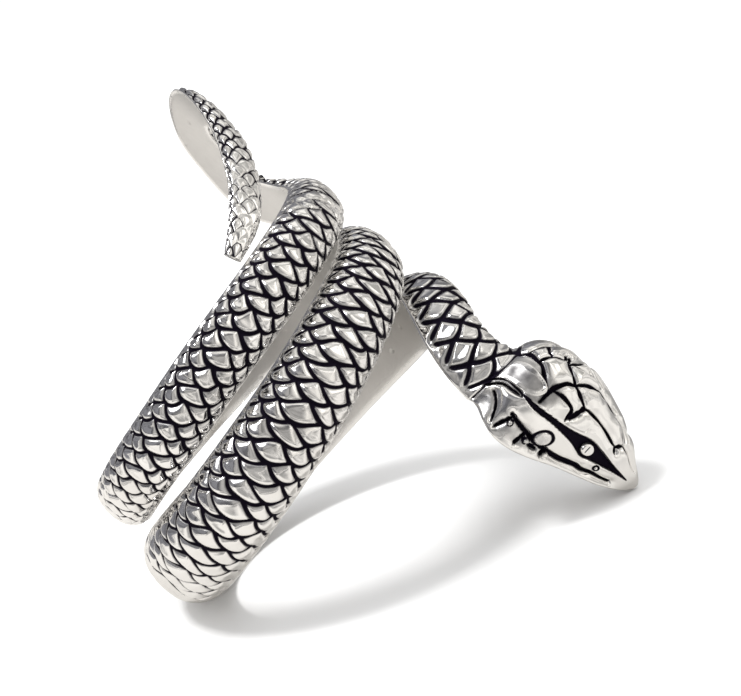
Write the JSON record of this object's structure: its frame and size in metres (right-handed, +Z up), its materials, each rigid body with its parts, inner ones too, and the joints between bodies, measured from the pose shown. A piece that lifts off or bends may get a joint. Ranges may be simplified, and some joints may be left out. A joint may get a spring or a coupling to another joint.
{
  "type": "snake wrap ring",
  "caption": "Cast metal finger ring: a scaled snake wound round the finger, its head lying forward and its tail folded back in a loop.",
  "frame": {"origin": "on the line of the finger, under the gap between the first coil and the second", "axes": "+Z up with the ring lying at rest on its head and the edge of its last coil; the finger's line lies in the XZ plane, and the head points along +X and down"},
  "size_m": [0.0291, 0.0228, 0.027],
  "materials": {
    "metal": "polished silver with dark tarnish in the grooves between the scales"
  },
  "bodies": {
    "root": {"snake": "metal"}
  },
  "joints": []
}
